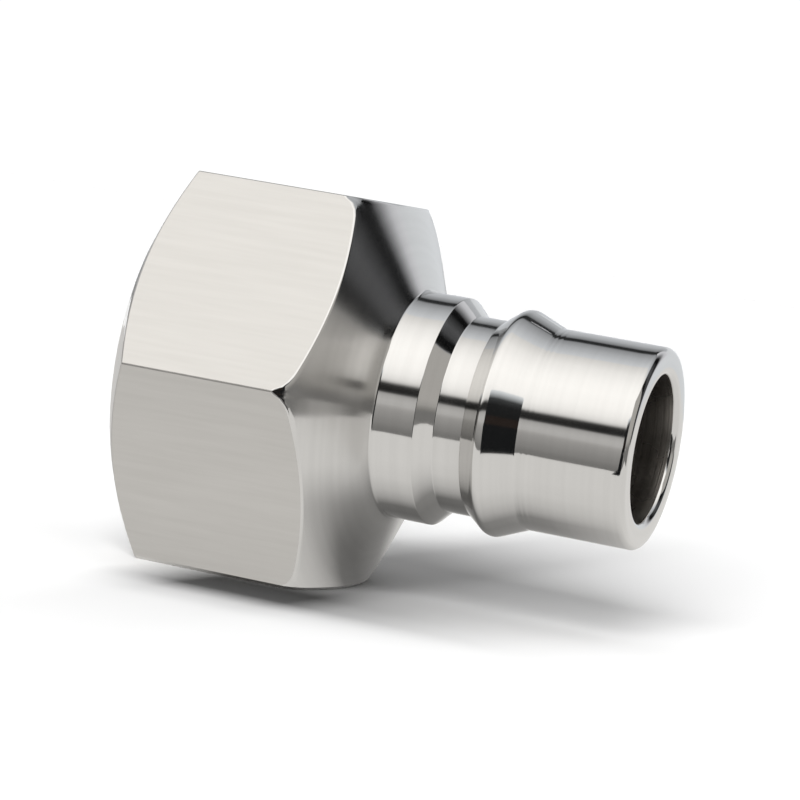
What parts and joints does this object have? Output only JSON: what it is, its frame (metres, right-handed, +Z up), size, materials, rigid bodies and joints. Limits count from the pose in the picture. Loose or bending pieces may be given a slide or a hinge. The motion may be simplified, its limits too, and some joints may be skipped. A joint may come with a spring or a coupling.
{
  "type": "quick coupling plug",
  "caption": "One-piece steel plug half of a quick coupling: hexagon with a female pipe thread, cone, stop collar, locking recess and crown, and an open nose.",
  "frame": {"origin": "centre of the nose's end face, on the axis", "axes": "+X along the axis, out of the nose; +Z up, square to one pair of hexagon flats, with the plug lying on the lower flat; Y across, through two corners of the hexagon"},
  "size_m": [0.035, 0.031, 0.027],
  "materials": {
    "steel": "turned and polished, with satin hexagon flats"
  },
  "bodies": {
    "root": {"coupling_nipple": "steel"}
  },
  "joints": []
}
